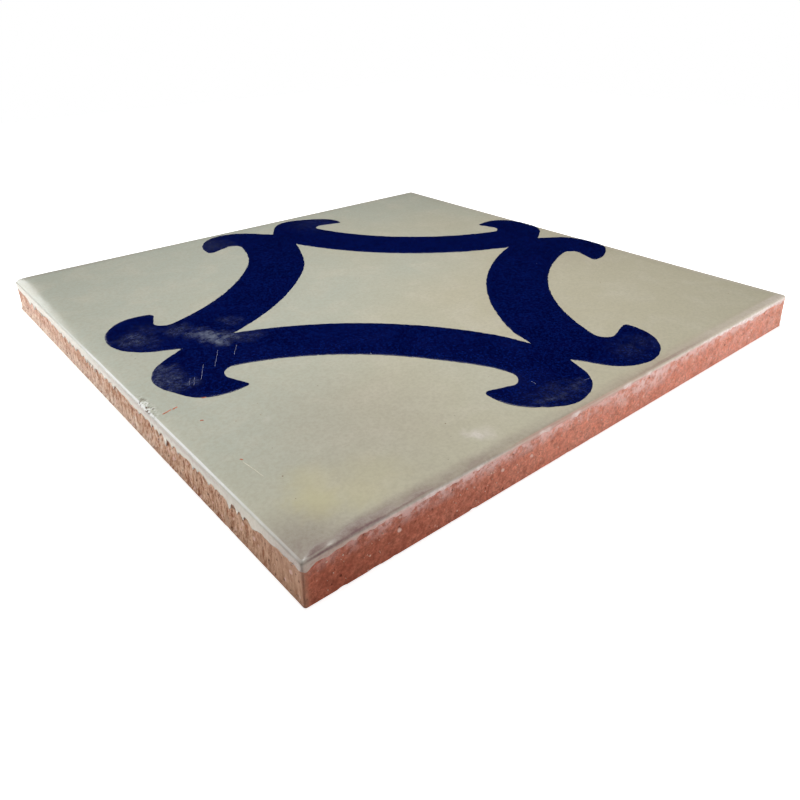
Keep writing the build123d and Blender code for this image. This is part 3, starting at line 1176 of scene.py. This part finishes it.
# %% Strew the grit and the specks
on_sides = (clay_z > 0.5) & (clay_z < side_top - 0.9)
grit_share = on_sides * (0.4 + 0.6 * near_side)
grit_sizes = {"Grains Per Area": 0.28e6, "Smallest": 0.05 * MM, "Largest": 0.13 * MM, "Seed": 4}
lime_grit = strew("lime_grit", clay_body, grit_share, lime_finish, 0.7, grit_sizes)
on_flat = np.abs(glaze_points[:, :2]).max(axis=1) < flat_reach
speck_sizes = {"Grains Per Area": 0.011e6, "Smallest": 0.05 * MM, "Largest": 0.12 * MM, "Seed": 9}
kiln_specks = strew("kiln_specks", glaze_coat, on_flat, speck_finish, 0.25, speck_sizes)


# %% Draw strokes
def draw_strokes(name, lines, rise, half_width, material):
    """Thin strokes laid on the face between pairs of points."""
    sizes = {"Half Width": half_width * MM}
    tree, given = start_tree(name, sizes)
    path = add(tree, "GeometryNodeMeshToCurve", None, given["Geometry"])
    taper = calc("SINE", times(add(tree, "GeometryNodeSplineParameter"), pi))
    taper = plus(times(taper, 0.85), 0.15)
    path = add(tree, "GeometryNodeSetCurveRadius", None, path, Radius=taper)
    wire = {"Resolution": 8, "Radius": given["Half Width"]}
    wire = add(tree, "GeometryNodeCurvePrimitiveCircle", None, **wire)
    tube = add(tree, "GeometryNodeCurveToMesh", None, path, wire, Fill_Caps=True)
    end_tree(tree, add(tree, "GeometryNodeSetShadeSmooth", None, tube), material)
    places, edges = [], []
    for number, (x0, y0, x1, y1) in enumerate(lines):
        steps = max(4, round(hypot(x1 - x0, y1 - y0) / 0.25))
        share = np.linspace(0, 1, steps + 1)
        bend = 0.06 * ripples([(t * 3, number) for t in share], 1.0, 81)
        line = np.c_[x0 + (x1 - x0) * share + bend, y0 + (y1 - y0) * share - bend]
        first = len(places)
        places += list(on_face(line, np.full(len(line), rise)))
        edges += [(first + i, first + i + 1) for i in range(steps)]
    source = new_piece(name, places, [], edges)
    source.data = run_tree(source, tree, sizes)
    print(name, "has", len(source.data.polygons), "faces")
    return source


smear_lines = [
    (-51.2, -16.7, -49.9, -16.5), (-49.7, -16.6, -49.0, -16.4), (-45.4, -16.4, -44.8, -16.6),
    (-48.2, -21.7, -47.8, -21.9), (-48.5, -33.0, -48.3, -33.3),
]
rub_lines = [
    (-36.9, -4.5, -39.7, -9.2), (-40.7, -7.5, -43.2, -11.7), (-33.6, -4.6, -35.6, -7.5),
    (-43.6, -10.4, -44.6, -12.4), (-44.2, -10.2, -45.2, -12.0), (-1.8, -48.2, -0.8, -48.3),
    (-7.7, -43.4, -7.8, -44.3),
]
glaze_line = [(-48.5, -33.7, -48.1, -37.9)]
sunk_in_enamel = 0.88 * enamel_rise - 0.022
clay_smears = draw_strokes("clay_smears", smear_lines, -0.05, 0.12, smear_finish)
enamel_scratches = draw_strokes(
    "enamel_scratches", rub_lines, sunk_in_enamel, 0.032, scratch_finish
)
glaze_scratches = draw_strokes("glaze_scratches", glaze_line, -0.03, 0.065, scored_finish)

# %% [markdown]
# ## Place in the frame
# The three skins and the small things on them all ride on the one body and stand for the one
# node, grouped by the material slot that their finish belongs to.

# %% Ride and replace
piece_slots = {
    "terracotta_body": [clay_body, lime_grit, clay_smears],
    "cream_glaze": [glaze_coat, kiln_specks, glaze_scratches],
    "cobalt_enamel": [cobalt_scrolls, enamel_scratches],
}
for slot, pieces in piece_slots.items():
    for piece in pieces:
        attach(piece, "root")
        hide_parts("tile")
print(sum(map(len, piece_slots.values())), "pieces ride on the root")

# %% [markdown]
# ## Floor and backdrop
# The tile lies on a plain pale floor inside a pale backdrop. Both glow towards the camera only,
# so the tile gets no more light from them. The floor glows a little less near the tile, which
# leaves its soft shadow, and fully white away from it.

# %% Floor
white_light = (1.0, 1.0, 1.0, 1.0)
floor_half = 320.0
floor_corners = [(-1, -1), (1, -1), (1, 1), (-1, 1)]
floor_points = [(x * floor_half, y * floor_half, -0.02) for x, y in floor_corners]
floor = new_piece("floor", floor_points, [(0, 1, 2, 3)])
floor_finish, tree, shader, place = start_material("pale floor")
rays = tree.nodes.new("ShaderNodeLightPath").outputs
seen = calc("MAXIMUM", rays["Is Camera Ray"], rays["Is Glossy Ray"])
seen = calc("MAXIMUM", seen, rays["Is Transmission Ray"])
away = make(tree, "ShaderNodeVectorMath", {"operation": "LENGTH"}, place).outputs["Value"]
set_inputs(shader, Base_Color=(0.8, 0.8, 0.8, 1.0), Roughness=0.9, Specular_IOR_Level=0.0)
glow = times(seen, ramp(away, 0.09, 0.2, 0.9, 1.0))
set_inputs(shader, Emission_Color=white_light, Emission_Strength=glow)
floor.data.materials.append(floor_finish)
print(f"floor {2 * floor_half:.0f} mm wide")

# %% Backdrop
dome_radius = 3000.0
bpy.ops.mesh.primitive_uv_sphere_add(segments=48, ring_count=24, radius=dome_radius * MM)
backdrop = bpy.context.object
backdrop.name = "backdrop"
backdrop_finish = bpy.data.materials.new("white backdrop")
backdrop_finish.use_nodes = True
tree = backdrop_finish.node_tree
tree.nodes.clear()
glow = add(tree, "ShaderNodeEmission", None, white_light, 1.0)
make(tree, "ShaderNodeOutputMaterial", None, glow)
backdrop.data.materials.append(backdrop_finish)
for kind in ("diffuse", "glossy", "transmission", "shadow"):
    setattr(backdrop, "visible_" + kind, False)
floor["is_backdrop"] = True
backdrop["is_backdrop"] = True
print(f"backdrop {2 * dome_radius:.0f} mm wide")

# %% [markdown]
# ## Light
# One small soft lamp close overhead lights the face, most in its middle. Two low lamps beyond
# the ends of the two near sides make each side brighten towards its far end, and a third lights
# the two hidden sides. The low ones are kept out of reflections, which the glaze would show as
# streaks. A far window lamp beyond the far left corner gives the glow on the left pillow.


# %% Lamps and world
def area_lamp(name, place, target, wide, tall, watts, in_reflections=True):
    """A rectangular lamp that faces its target. Places and sizes are in millimetres."""
    light = bpy.data.lights.new(name, "AREA")
    light.shape = "RECTANGLE"
    light.size = wide * MM
    light.size_y = tall * MM
    light.energy = watts
    lamp = put_in_scene(name, light)
    lamp.location = Vector(place) * MM
    lamp.rotation_euler = (Vector(target) - Vector(place)).to_track_quat("-Z", "Y").to_euler()
    lamp.visible_glossy = in_reflections
    print(name, "lamp:", watts, "W")


area_lamp("overhead", (0, 4, 185), (0, 4, 0), 110, 110, 0.327)
area_lamp("low_left", (-200, 110, 12), (-45, 30, 6), 140, 18, 0.255, in_reflections=False)
area_lamp("low_right", (80, -200, 12), (30, -50, 6), 140, 18, 0.19, in_reflections=False)
area_lamp("low_back", (215, 215, 14), (45, 45, 4), 180, 20, 0.3, in_reflections=False)
area_lamp("window", (-63, 545, 168), (-50, 45, 6), 150, 130, 0.165)
world = bpy.data.worlds.new("studio")
bpy.context.scene.world = world
world.use_nodes = True
world.node_tree.nodes["Background"].inputs["Color"].default_value = (0.004, 0.004, 0.005, 1.0)

# %% [markdown]
# ## Camera
# The photograph was taken from close by, over the near corner. The camera's place and turn were
# worked out from the tile's corners and scrolls in it.

# %% Camera
picture_size = 800
focal_pixels = 733.6
middle_row = 300.0
camera_place = Vector((-80.99, -102.53, 57.38))
heading, dip, roll = radians(50.27), radians(22.43), radians(-0.76)
camera_data = bpy.data.cameras.new("camera")
camera_data.sensor_width = 36.0
camera_data.lens = focal_pixels * camera_data.sensor_width / picture_size
camera_data.shift_y = (middle_row - picture_size / 2) / picture_size
camera_data.clip_start = 0.005
forward = Vector((cos(dip) * cos(heading), cos(dip) * sin(heading), -sin(dip)))
level = Vector((sin(heading), -cos(heading), 0))
upward = level.cross(forward)
right_axis = cos(roll) * level + sin(roll) * upward
up_axis = -sin(roll) * level + cos(roll) * upward
axes = Matrix((right_axis, up_axis, -forward)).transposed().to_4x4()
camera = put_in_scene("camera", camera_data)
camera.matrix_world = Matrix.Translation(camera_place * MM) @ axes
bpy.context.scene.camera = camera
bpy.context.scene.view_settings.view_transform = "Standard"
print("lens", round(camera_data.lens, 2), "mm, shift", camera_data.shift_y)

# %% Write the two boxes and finish
boxes = {"cad": cad_box, "visual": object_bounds()}
boxes = {name: [list(corner) for corner in box] for name, box in boxes.items()}
print(boxes)
